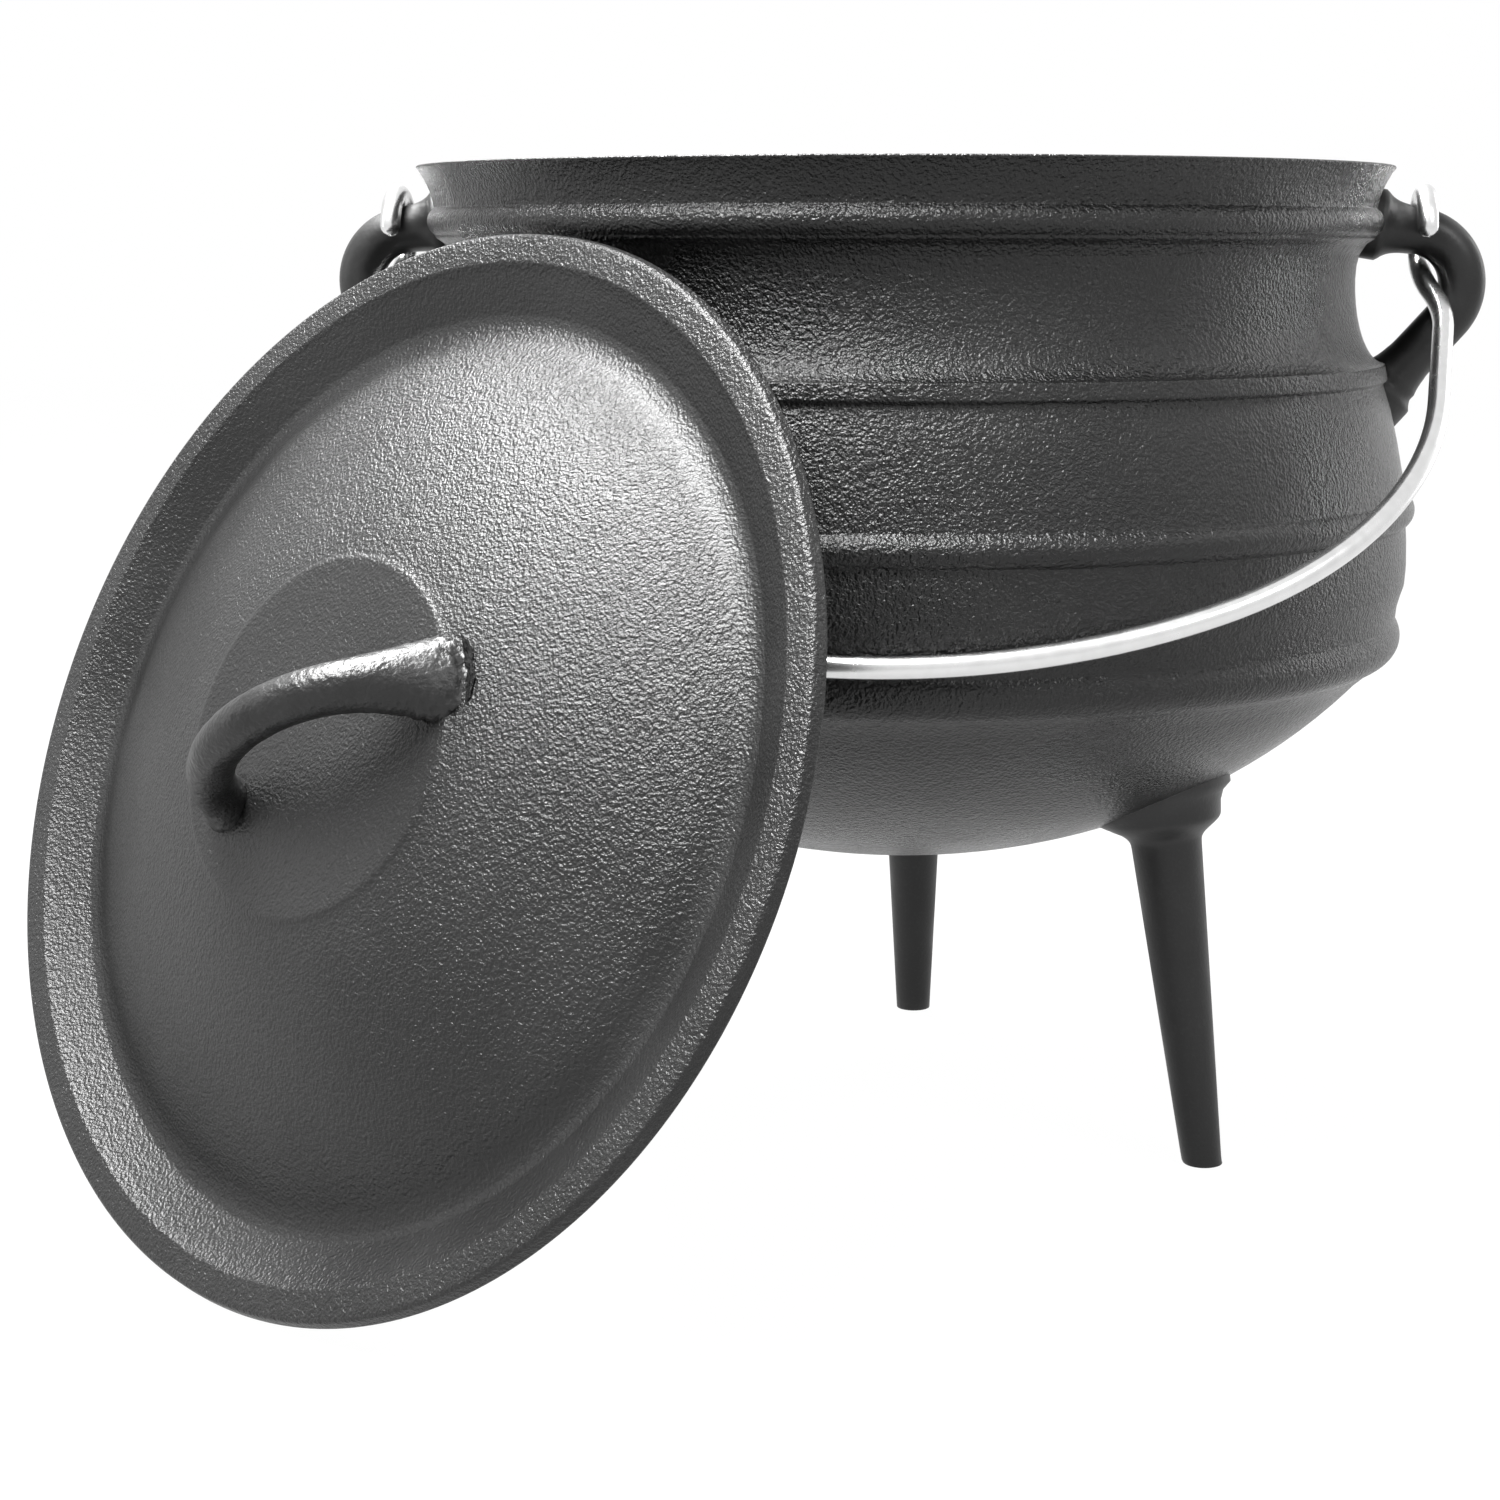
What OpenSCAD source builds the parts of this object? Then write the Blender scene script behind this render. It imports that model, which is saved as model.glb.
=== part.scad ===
// Three-legged cast iron potjie pot with a wire bail and a loose domed lid.
// Origin on the pot's axis at floor level, +Z up, ears along X, one leg at the back (+Y).
// The lid stands on the floor and leans against the neck of the pot, at the front left.

/* [Pot] */
// Outer radius of the lip
rim_r = 130; // [128:0.5:132]
// Height of the lip over the floor
rim_h = 260; // [258:0.5:262]
// Thickness of the cast wall
wall = 4.5; // [3.5:0.25:5.5]
// Smallest outer radius of the neck
neck_r = 120.3; // [119:0.1:121]
// Height of the narrowest part of the neck
neck_h = 231; // [229:0.5:232]
// Outer radius of the widest part of the belly
belly_r = 136.2; // [135.5:0.1:137]
// Height of the widest part of the belly
belly_h = 156; // [154:0.5:158]

/* [Ribs] */
// Outer radius of the rib at the shoulder
shoulder_rib_r = 129.6; // [129:0.1:130.5]
// Height of the lower edge of the shoulder rib
shoulder_rib_h = 204.9; // [203:0.1:206]
// Height of the flat band of the shoulder rib
shoulder_rib_w = 4; // [3:0.1:4.5]
// Outer radius of the bead above the belly
upper_bead_r = 137.9; // [137.2:0.1:138.4]
// Height of the bead above the belly
upper_bead_h = 170.9; // [170:0.1:172]
// Section radius of the bead above the belly
upper_bead_s = 4.5; // [4:0.1:5]
// Outer radius of the bead below the belly
lower_bead_r = 135.3; // [134.9:0.1:135.8]
// Height of the bead below the belly
lower_bead_h = 137.2; // [136.5:0.1:138]
// Section radius of the bead below the belly
lower_bead_s = 7; // [6.5:0.1:7.5]

/* [Bowl] */
// Half width of the ellipse that shapes the bottom
bowl_a = 156.2; // [155:0.2:157]
// Half height of the ellipse that shapes the bottom
bowl_b = 126.3; // [125.5:0.1:127]
// Height of the centre of that ellipse
bowl_h = 201.8; // [201:0.1:202.5]

/* [Legs] */
// Distance of each foot from the pot's axis
foot_ring_r = 97; // [94:0.5:100]
// Radius of a leg at the floor
foot_r = 5.2; // [4.8:0.1:6]
// Radius of a leg where it meets its boss
leg_top_r = 9.3; // [8.8:0.1:10]
// Lean of a leg towards the pot's axis
leg_lean = 8.6; // [7.5:0.1:9.5]
// Height of the lower face of a leg's boss
boss_h = 90; // [88:0.5:92]
// Radius of a leg's boss
boss_r = 15; // [14:0.1:16]

/* [Ears] */
// Radius of the cast bar of an ear
ear_bar_r = 6.2; // [6:0.05:6.3]
// Distance of the centre of an ear's bend from the pot's axis
ear_bend_x = 134.9; // [134.7:0.1:135.1]
// Height of the centre of an ear's bend
ear_bend_h = 229.6; // [229.4:0.1:229.8]
// Radius of an ear's bend, on the middle of its bar
ear_bend_r = 14; // [13.9:0.05:14.2]
// Slope of an ear's upper arm
ear_arm_drop = 9; // [8:0.5:10]
// Slope of an ear's lower arm
ear_strut_slope = 48.5; // [46:0.5:51]

/* [Bail] */
// Diameter of the bail's wire
wire_d = 5.5; // [5:0.1:5.6]
// Height of the line that the bail swings about
hinge_h = 242.9; // [242.8:0.05:243]
// Radius of a hook on the middle of its wire
hook_r = 10.2; // [10:0.1:10.3]
// Turn of the wire in a hook
hook_turn = 245; // [235:5:250]
// Reach of the bail from its hooks to the middle of its bow
bail_reach = 168.6; // [168:0.1:169]
// Radius of the bail's bow in the middle
bow_r = 165; // [162:1:168]
// Half angle of the middle bow
bow_half = 29; // [28:0.5:30]
// Radius of the bail's side bends
side_r = 114; // [112:0.5:115]
// Turn of each side bend
side_turn = 54; // [53:0.5:55]
// Radius of the double bend that leads the wire in to each hook
swan_r = 40; // [38:0.5:42]
// Turn of that double bend
swan_turn = 18; // [17:0.25:19]
// Slope of the bail below the level as it lies on the belly
bail_drop = 32; // [32:0.1:32.3]

/* [Lid] */
// Outer radius of the lid's face
lid_r = 130.2; // [129.5:0.1:131]
// Outer radius of the lid's lower corner
lid_skirt_r = 131; // [130.4:0.1:131.6]
// Thickness of the lid's rim
lid_rim_t = 4; // [3.5:0.1:4.5]
// Radius of the crisp inner edge of the flat rim
lid_edge_r = 122.5; // [122:0.1:123.5]
// Radius of the bottom of the ring channel
channel_r = 109.5; // [108:0.5:111]
// Depth of the ring channel under the face
channel_d = 6.8; // [6:0.1:7.5]
// Radius of the sphere that shapes the dome
dome_r = 207; // [200:1:215]
// Radius of the flat pad in the middle
pad_r = 43.5; // [42:0.5:45]
// Height of the pad over the face of the rim
pad_h = 19.2; // [18.6:0.1:20]
// Azimuth of the lid's outward side as it leans
lid_azimuth = 233; // [232:0.1:234]
// Lean of the lid from upright
lid_lean = 22.3; // [22:0.1:22.6]
// Distance of the lid's centre from the pot's axis
lid_out = 179; // [178.9:0.1:184]
// Bearing of the lid's centre seen from the pot's axis
lid_bearing = 230.2; // [229:0.1:231]

/* [Lid handle] */
// Radius of the handle's arch, on the middle of its bar
grip_arch_r = 38; // [36:0.5:40]
// Height of the centre of that arch over the face of the rim
grip_arch_h = 3.5; // [2:0.5:5]
// Radius of the handle's bar
grip_bar_r = 5.1; // [4.6:0.1:5.5]
// Turn of the handle on the lid
grip_turn = 31.9; // [0:0.1:90]

/* [Hidden] */
$fn = 96;
iron = "dimgray";
dark_iron = "darkslategray";
steel = "silver";
lip_w = 4;
bead_r = 127.3;
bead_h = 245.6;
bead_s = 4;
lip_root_r = 125.6;
lip_root_h = 250.5;
rib_foot = 1.2;
bowl_top_z = 126.4;
cove_h = neck_h - shoulder_rib_h - shoulder_rib_w;
cove_d = 8.6;
leg_angles = [-30, 210, 90];
leg_cut = 4;
leg_slant = boss_h / cos(leg_lean);
boss_chamfer = 3.5;
boss_len = 30;
ball_over = 0.12;
ear_arm_len = 20;
ear_strut_len = 31;
ear_flare = 9;
bow_y = bow_r - bail_reach;
side_x = (bow_r - side_r) * sin(bow_half);
side_y = bow_y - (bow_r - side_r) * cos(bow_half);
side_slope = 90 - bow_half - side_turn;
side_end_x = side_x + side_r * cos(side_slope);
side_end_y = side_y - side_r * sin(side_slope);
swan_y = -swan_r * (sin(side_slope) + 2 * sin(swan_turn));
straight_len = (swan_y - side_end_y) / cos(side_slope);
swan_x = side_end_x + straight_len * sin(side_slope);
hook_x = swan_x + swan_r * (2 * cos(swan_turn) - cos(side_slope) - 1);
lid_round = 1.4;
dome_foot_r = 105;
pad_step = 0.6;
lid_skin = 4.2;
ridge_d = 11.4;
ridge_out_r = 119.5;
ridge_in_r = 104;
dome_base = pad_h - pad_step - sqrt(dome_r * dome_r - pad_r * pad_r);
lid_h = (lid_skirt_r - lid_round) * cos(lid_lean) + (lid_rim_t - lid_round) * sin(lid_lean) + lid_round;
grip_shift = [1, 5.5, 0];
grip_room = 110;
root_r = 6.6;
root_wide_r = 9;
root_h = 5;
root_span = sqrt(grip_arch_r * grip_arch_r - (pad_h - grip_arch_h) * (pad_h - grip_arch_h));

// Points on an arc about [r, z], from angle a to angle b, in n steps
function arc(r, z, s, a, b, n) =
    [for (i = [0 : n]) [r + s * cos(a + (b - a) * i / n), z + s * sin(a + (b - a) * i / n)]];

// Points on the outside of the bottom, from the axis up, drawn in by t
function bowl_line(t, top, n) =
    let (last = acos((bowl_h - top) / (bowl_b - t)))
    [for (i = [0 : n]) [(bowl_a - t) * sin(last * i / n), bowl_h - (bowl_b - t) * cos(last * i / n)]];

// Points on the hollow curve between the shoulder rib and the neck
function cove_line(n) =
    [for (i = [0 : n]) let (a = 90 * i / n)
        [neck_r + cove_d * (1 - sin(a)), neck_h - cove_h * cos(a)]];

// Outside of the belly, from the lower bead to the shoulder rib
function belly_line() = concat(
    arc(lower_bead_r - lower_bead_s, lower_bead_h, lower_bead_s, -75, 38, 10),
    [[134.2, 145.5], [134.9, 148.2], [belly_r - 0.3, 151.2], [belly_r, belly_h], [belly_r - 0.2, 163]],
    arc(upper_bead_r - upper_bead_s, upper_bead_h, upper_bead_s, -60, 64, 10),
    [[134.2, 181], [132.6, 189], [130.7, 197], [shoulder_rib_r - rib_foot, shoulder_rib_h - 1]]);

// Outside of the shoulder rib, the neck, the bead under the lip and the lip itself
function neck_line() = concat(
    [[shoulder_rib_r, shoulder_rib_h], [neck_r + cove_d, shoulder_rib_h + shoulder_rib_w - 0.3]],
    cove_line(10),
    [[neck_r + 0.2, 234.4], [neck_r + 0.9, 237.4], [neck_r + 2.6, 240], [neck_r + 4.8, 241.4]],
    arc(bead_r - bead_s, bead_h, bead_s, -62, 60, 8),
    [[lip_root_r, lip_root_h], [126.4, 253.4], [127.6, 256], [rim_r - 1, rim_h - 1.6], [rim_r, rim_h - 0.4],
     [rim_r - 0.4, rim_h]]);

// Inside of the wall, from the lip down to the bottom
function inner_line() = concat(
    [[rim_r - lip_w, rim_h], [rim_r - lip_w - 0.8, rim_h - 0.8], [123, 255], [120.8, 248], [117.4, 240],
     [neck_r - wall, neck_h], [117.6, 220], [121.4, 211], [124.4, 203], [127, 193], [130, 178],
     [131.6, 165], [belly_r - wall, belly_h], [130.2, 145], [126.4, 133]],
    [for (i = [24 : -1 : 0]) bowl_line(wall, 127, 24)[i]]);

// Solid of the bottom alone, which a leg is cut to
module bowl_solid() {
    rotate_extrude() polygon(concat(bowl_line(0, bowl_top_z, 30), [[0, bowl_top_z]]));
}

// Solid of the neck and shoulder, which an ear is cut to
module neck_solid() {
    rotate_extrude() polygon(concat([[0, 181], [134.2, 181], [132.6, 189], [130.7, 197]],
                                    neck_line(), [[0, rim_h]]));
}

// The pot's casting, without its legs and ears
module pot_body() {
    color(iron) rotate_extrude()
        polygon(concat(bowl_line(0, bowl_top_z, 30), belly_line(), neck_line(), inner_line()));
}

// One leg with its boss, cut flat at the floor and fitted to the bottom of the pot
module leg(angle) {
    taper = (leg_top_r - foot_r) / leg_slant;
    color(iron) rotate([0, 0, angle]) difference() {
        translate([foot_ring_r, 0, 0]) rotate([0, -leg_lean, 0]) {
            translate([0, 0, -leg_cut])
                cylinder(r1 = foot_r - leg_cut * taper, r2 = leg_top_r, h = leg_slant + leg_cut);
            translate([0, 0, leg_slant - boss_chamfer])
                cylinder(r1 = leg_top_r + 0.5, r2 = boss_r, h = boss_chamfer);
            translate([0, 0, leg_slant]) cylinder(r = boss_r, h = boss_len);
        }
        translate([foot_ring_r, 0, -boss_r]) cylinder(r = boss_r, h = boss_r);
        bowl_solid();
    }
}

module leg_front_right() { leg(leg_angles[0]); }
module leg_front_left() { leg(leg_angles[1]); }
module leg_back() { leg(leg_angles[2]); }

// Straight end of an ear's bar, from angle a of the bend, with a ball where it joins on
module ear_end(a, way, len, flare) {
    rotate([0, 0, a]) translate([ear_bend_r, 0, 0]) rotate([-90 * way, 0, 0]) {
        sphere(r = ear_bar_r + ball_over / 2);
        cylinder(r = ear_bar_r, h = len);
        translate([0, 0, len - flare]) cylinder(r1 = ear_bar_r, r2 = ear_bar_r + flare / 3, h = flare);
    }
}

// One ear: upper arm, round bend and lower arm of one bar, with a flare at each root
module ear(side) {
    low = ear_strut_slope - 90;
    high = 90 - ear_arm_drop;
    color(dark_iron) mirror([side < 0 ? 1 : 0, 0, 0]) difference() {
        translate([ear_bend_x, 0, ear_bend_h]) rotate([90, 0, 0]) {
            rotate([0, 0, low]) rotate_extrude(angle = high - low)
                translate([ear_bend_r, 0]) circle(r = ear_bar_r);
            ear_end(high, 1, ear_arm_len, ear_flare);
            ear_end(low, -1, ear_strut_len, ear_flare);
        }
        neck_solid();
    }
}

module ear_right() { ear(1); }
module ear_left() { ear(-1); }

// Part of a ring of the bail's wire about the origin, from angle a, turning by t
module wire_arc(r, a, t) {
    rotate([0, 0, a]) rotate_extrude(angle = t) translate([r, 0]) circle(d = wire_d);
}

// Ball over the end of an arc of the wire, so that the next length joins on to it
module wire_ball(r, a) {
    rotate([0, 0, a]) translate([r, 0, 0]) sphere(d = wire_d + ball_over);
}

// One side of the bail from the bow to the hook, in the plane of the bow
module bail_side() {
    translate([side_x, side_y, 0]) {
        wire_arc(side_r, bow_half - 90, side_turn);
        wire_ball(side_r, bow_half - 90);
        wire_ball(side_r, -side_slope);
    }
    translate([side_end_x, side_end_y, 0]) rotate([-90, 0, -side_slope])
        cylinder(d = wire_d, h = straight_len);
    translate([swan_x - swan_r * cos(side_slope), swan_y + swan_r * sin(side_slope), 0]) {
        wire_arc(swan_r, -side_slope, side_slope + swan_turn);
        wire_ball(swan_r, -side_slope);
        wire_ball(swan_r, swan_turn);
    }
    translate([hook_x + swan_r, 0, 0]) {
        wire_arc(swan_r, 180, swan_turn);
        wire_ball(swan_r, 180);
    }
}

// One side of the bail with its hook, which loops round an ear
module bail_half() {
    translate([0, 0, -hook_r]) bail_side();
    translate([hook_x, 0, 0]) rotate([0, 90, 0]) {
        wire_arc(hook_r, 0, hook_turn);
        wire_ball(hook_r, hook_turn);
    }
}

// The bail as it lies on the front of the belly
module bail() {
    color(steel) translate([0, 0, hinge_h]) rotate([bail_drop, 0, 0]) {
        translate([0, bow_y, -hook_r]) wire_arc(bow_r, -90 - bow_half, 2 * bow_half);
        bail_half();
        mirror([1, 0, 0]) bail_half();
    }
}

// Carries what is drawn about the lid's own axis to where the lid leans
module on_lid() {
    translate([lid_out * cos(lid_bearing), lid_out * sin(lid_bearing), lid_h])
        rotate([0, 90 - lid_lean, lid_azimuth]) children();
}

// Top of the lid from its centre out to the rim: pad, dome, channel and flat rim
function lid_top() = concat(
    [[0, pad_h], [pad_r - 1.2, pad_h], [pad_r - 0.3, pad_h - 0.25]],
    [for (i = [0 : 20]) let (r = pad_r + 0.2 + (dome_foot_r - pad_r) * i / 20)
        [r, dome_base + sqrt(dome_r * dome_r - r * r)]],
    [[channel_r - 2, 0.4 - channel_d], [channel_r, -channel_d], [channel_r + 2.2, 0.3 - channel_d],
     [channel_r + 4.4, 1.6 - channel_d], [lid_edge_r - 0.5, -0.5], [lid_edge_r, 0]],
    arc(lid_r - lid_round, -lid_round, lid_round, 90, 0, 5));

// Underside of the lid from its lower corner in to the centre: rim, ridge and hollow
function lid_under() = concat(
    arc(lid_skirt_r - lid_round, lid_round - lid_rim_t, lid_round, -lid_lean, -90, 4),
    [[ridge_out_r + 1.5, -lid_rim_t], [ridge_out_r, -lid_rim_t - 0.8], [ridge_out_r - 3.6, 0.6 - ridge_d],
     [ridge_out_r - 4.6, -ridge_d], [ridge_in_r, -ridge_d], [ridge_in_r - 1.6, 0.8 - ridge_d]],
    [for (i = [20 : -1 : 0]) let (r = (ridge_in_r - 4) * i / 20)
        [r, dome_base - lid_skin + sqrt(dome_r * dome_r - r * r) - (i == 20 ? 0.6 : 0)]]);

// The lid's casting, without its handle
module lid_plate() {
    color(iron) on_lid() rotate_extrude() polygon(concat(lid_top(), lid_under()));
}

// The handle's arch of round bar, cut level with the top of the pad
module grip_arch() {
    intersection() {
        translate([0, 0, grip_arch_h]) rotate([0, -90, 0]) rotate([0, 0, -90])
            rotate_extrude(angle = 180) translate([grip_arch_r, 0]) circle(r = grip_bar_r);
        translate([-grip_room / 2, -grip_room / 2, pad_h]) cube(grip_room);
    }
}

// Flared root of the handle where it was cast into the lid
module grip_root(side, r) {
    translate([0, side * root_span, pad_h]) cylinder(r1 = r, r2 = grip_bar_r - 0.4, h = root_h);
}

// The handle: an arch of round bar, with a flared root at each end
module lid_handle() {
    color(dark_iron) on_lid() translate(grip_shift) rotate([0, 0, grip_turn]) {
        grip_arch();
        grip_root(1, root_wide_r);
        grip_root(-1, root_r);
    }
}

pot_body();
leg_front_right();
leg_front_left();
leg_back();
ear_right();
ear_left();
bail();
lid_plate();
lid_handle();
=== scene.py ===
"""Studio scene of a three-legged cast iron potjie pot, with its lid leaning on it.

Sizes are in millimetres until a mesh is made, and Blender's own units are metres.
"""

import logging
import math
from collections.abc import Iterable, Sequence
from dataclasses import dataclass
from enum import Enum

import bmesh
import bpy
import numpy as np
from mathutils import Matrix, Vector, noise

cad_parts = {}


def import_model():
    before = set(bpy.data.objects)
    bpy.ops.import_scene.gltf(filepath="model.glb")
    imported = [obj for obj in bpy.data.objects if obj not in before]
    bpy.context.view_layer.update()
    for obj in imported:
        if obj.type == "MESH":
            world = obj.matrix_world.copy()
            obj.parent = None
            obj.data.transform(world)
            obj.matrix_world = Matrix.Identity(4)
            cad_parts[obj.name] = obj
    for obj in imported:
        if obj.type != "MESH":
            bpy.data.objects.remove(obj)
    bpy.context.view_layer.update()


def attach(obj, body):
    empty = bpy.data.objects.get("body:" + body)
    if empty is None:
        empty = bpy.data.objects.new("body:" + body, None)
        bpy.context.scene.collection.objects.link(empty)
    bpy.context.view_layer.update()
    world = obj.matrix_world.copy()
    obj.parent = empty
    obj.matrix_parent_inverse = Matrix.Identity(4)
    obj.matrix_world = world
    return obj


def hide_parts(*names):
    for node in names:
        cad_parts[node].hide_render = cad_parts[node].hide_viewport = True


LOG = logging.getLogger("potjie")
MM = 0.001
IRON_SPECULAR = 0.38
Point = tuple[float, float]
Shape = list[Point]


class Body(Enum):
    """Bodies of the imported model."""

    POT = "pot"
    BAIL = "bail"
    LID = "lid"


class Slot(Enum):
    """Material slots of the record."""

    POT = "pot_iron"
    LEG = "leg_iron"
    EAR = "ear_iron"
    LID = "lid_iron"
    GRIP = "grip_iron"
    BAIL = "bail_steel"


@dataclass(frozen=True)
class IronFinish:
    """Look of one kind of cast iron surface.

    Args:
        name: name of the material
        dark: grey of the darker patches
        light: grey of the lighter patches
        rough_low: roughness of the smoother patches
        rough_high: roughness of the rougher patches
        grain_mm: size of the sand grain
        grain_depth_mm: depth of the sand grain
        patch_mm: size of the patches of colour and gloss
    """

    name: str
    dark: float
    light: float
    rough_low: float
    rough_high: float
    grain_mm: float
    grain_depth_mm: float
    patch_mm: float


@dataclass(frozen=True)
class SteelFinish:
    """Look of the drawn wire.

    Args:
        name: name of the material
        grey: grey of the steel
        rough: middle roughness
        spread: how far the roughness wanders from its middle
    """

    name: str
    grey: float
    rough: float
    spread: float


POT_IRON = IronFinish("pot_sand_cast_iron", 0.004, 0.007, 0.25, 0.33, 0.85, 0.7, 40.0)
LEG_IRON = IronFinish("leg_cast_iron", 0.01, 0.018, 0.42, 0.56, 0.9, 0.06, 18.0)
EAR_IRON = IronFinish("ear_cast_iron", 0.006, 0.012, 0.36, 0.5, 1.0, 0.05, 14.0)
LID_IRON = IronFinish("lid_sand_cast_iron", 0.005, 0.009, 0.34, 0.4, 0.8, 0.65, 50.0)
GRIP_IRON = IronFinish("grip_coarse_cast_iron", 0.007, 0.012, 0.32, 0.4, 1.2, 0.3, 12.0)
BAIL_STEEL = SteelFinish("bail_drawn_steel", 0.72, 0.26, 0.05)


class Wire:
    """A shader socket that grows Math nodes when it is used in arithmetic."""

    def __init__(self, graph: "Graph", socket: bpy.types.NodeSocket) -> None:
        """Keeps the socket and the tree that it belongs to."""
        self.graph = graph
        self.socket = socket

    def _math(self, operation: str, first: object, second: object) -> "Wire":
        """Adds a Math node and returns its result."""
        return self.graph.add("ShaderNodeMath", {0: first, 1: second}, {"operation": operation})

    def __add__(self, other: object) -> "Wire":
        """Adds a value or another socket."""
        return self._math("ADD", self, other)

    def __mul__(self, other: object) -> "Wire":
        """Multiplies by a value or another socket."""
        return self._math("MULTIPLY", self, other)

    __radd__ = __add__
    __rmul__ = __mul__

    def spread(self, low: float, high: float) -> "Wire":
        """Maps 0..1 to low..high.

        Args:
            low: value for 0
            high: value for 1

        Returns:
            The mapped socket.
        """
        return self * (high - low) + low

    def stretch(self, start: float, end: float) -> "Wire":
        """Maps start..end to 0..1 with soft ends.

        Args:
            start: value that gives 0
            end: value that gives 1

        Returns:
            The mapped socket.
        """
        return self.graph.add(
            "ShaderNodeMapRange",
            {"Value": self, "From Min": start, "From Max": end},
            {"interpolation_type": "SMOOTHSTEP"},
        )


class Graph:
    """The node tree of one material."""

    def __init__(self, name: str) -> None:
        """Starts an empty material of that name."""
        self.material = bpy.data.materials.new(name)
        self.material.use_nodes = True
        self.tree = self.material.node_tree
        self.tree.nodes.clear()
        self.output = self.tree.nodes.new("ShaderNodeOutputMaterial")

    def add(self, kind: str, inputs: dict, settings: dict | None = None, out: object = 0) -> Wire:
        """Adds one node.

        Args:
            kind: Blender's name of the node type
            inputs: socket name or number to a Wire or a plain value
            settings: properties of the node
            out: name or number of the output that is returned

        Returns:
            The chosen output.
        """
        node = self.tree.nodes.new(kind)
        for key, value in (settings or {}).items():
            setattr(node, key, value)
        for key, value in inputs.items():
            if isinstance(value, Wire):
                self.tree.links.new(value.socket, node.inputs[key])
            else:
                node.inputs[key].default_value = value
        return Wire(self, node.outputs[out])

    def place(self) -> Wire:
        """Returns the object coordinates."""
        return self.add("ShaderNodeTexCoord", {}, out="Object")

    def noise(self, place: Wire, size_mm: float, detail: float = 2.0) -> Wire:
        """Adds a noise texture.

        Args:
            place: coordinates
            size_mm: size of its features
            detail: number of finer layers

        Returns:
            A value around a half.
        """
        inputs = {"Vector": place, "Scale": 1.0 / (size_mm * MM), "Detail": detail}
        return self.add("ShaderNodeTexNoise", inputs, out=0)

    def bump(self, height: Wire, depth_mm: float, under: Wire | None = None) -> Wire:
        """Adds a bump.

        Args:
            height: height from 0 to 1
            depth_mm: real height of a step from 0 to 1
            under: normal that the bump lies on

        Returns:
            The normal.
        """
        inputs = {"Height": height, "Distance": depth_mm * MM, "Strength": 1.0}
        if under:
            inputs["Normal"] = under
        return self.add("ShaderNodeBump", inputs)

    def grey(self, low: Wire) -> Wire:
        """Turns a value into a grey colour."""
        return self.add("ShaderNodeCombineColor", {0: low, 1: low, 2: low})

    def finish(self, shader: Wire) -> bpy.types.Material:
        """Connects the shader and returns the material."""
        self.tree.links.new(shader.socket, self.output.inputs["Surface"])
        return self.material


def iron_material(finish: IronFinish) -> bpy.types.Material:
    """Makes a sand-cast, seasoned iron.

    Args:
        finish: its look

    Returns:
        The material, which reads the attribute tone: 1 is plain, less is darker and smoother; the lid uses it
        for a darker pad and for painted shade in its ring channel.
    """
    graph = Graph(finish.name)
    place = graph.place()
    tone_and_shade = graph.add("ShaderNodeAttribute", {}, {"attribute_name": "tone_and_shade"}, "Fac")
    patches = graph.noise(place, finish.patch_mm, 4.0).stretch(0.35, 0.65)
    grain = graph.noise(place, finish.grain_mm, 2.0)
    clumps = graph.noise(place, finish.grain_mm * 2.6, 1.0)
    waves = graph.noise(place, finish.patch_mm * 0.6, 1.0)
    soft = graph.bump(waves, finish.grain_depth_mm * 0.25)
    height = (grain + clumps * 0.4) * tone_and_shade
    normal = graph.bump(height, finish.grain_depth_mm, soft)
    # Darker where the tone attribute is below 1; in the lid's ring channel this darkening is painted shade.
    grey = patches.spread(finish.dark, finish.light) * tone_and_shade.spread(0.55, 1.0)
    speck = grain.stretch(0.5, 0.75).spread(1.0, 1.35)
    shader = graph.add(
        "ShaderNodeBsdfPrincipled",
        {
            "Base Color": graph.grey(grey * speck),
            "Roughness": patches.spread(finish.rough_low, finish.rough_high),
            "Metallic": 0.0,
            "Specular IOR Level": IRON_SPECULAR,
            "Normal": normal,
        },
    )
    return graph.finish(shader)


def steel_material(finish: SteelFinish) -> bpy.types.Material:
    """Makes a bright drawn wire.

    Args:
        finish: its look

    Returns:
        The material.
    """
    graph = Graph(finish.name)
    place = graph.place()
    streaks = graph.noise(place, 4.0, 4.0)
    scratches = graph.noise(place, 0.35, 2.0)
    rough = streaks.spread(finish.rough - finish.spread, finish.rough + finish.spread)
    shade = streaks.stretch(0.3, 0.7).spread(finish.grey * 0.94, finish.grey)
    shader = graph.add(
        "ShaderNodeBsdfPrincipled",
        {
            "Base Color": graph.grey(shade),
            "Roughness": rough,
            "Metallic": 1.0,
            "Normal": graph.bump(scratches, 0.006),
        },
    )
    return graph.finish(shader)


def floor_material() -> bpy.types.Material:
    """Makes the floor, which looks white to the camera and in reflections, and keeps the shadow."""
    graph = Graph("studio_white")
    camera = graph.add("ShaderNodeLightPath", {}, out="Is Camera Ray")
    rays = camera.socket.node.outputs
    path = camera + Wire(graph, rays["Is Glossy Ray"]) + Wire(graph, rays["Is Transmission Ray"])
    plain = graph.add("ShaderNodeBsdfDiffuse", {"Color": (0.5, 0.5, 0.5, 1.0)})
    white = graph.add("ShaderNodeEmission", {"Color": (1.0, 1.0, 1.0, 1.0), "Strength": 1.06})
    seen = graph.add("ShaderNodeMixShader", {0: 0.94, 1: plain, 2: white})
    return graph.finish(graph.add("ShaderNodeMixShader", {0: path, 1: plain, 2: seen}))


def arc(r: float, z: float, size: float, start: float, end: float, steps: int) -> Shape:
    """Points on an arc about (r, z), from angle start to angle end in degrees."""
    turns = [math.radians(start + (end - start) * i / steps) for i in range(steps + 1)]
    return [(r + size * math.cos(a), z + size * math.sin(a)) for a in turns]


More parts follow.
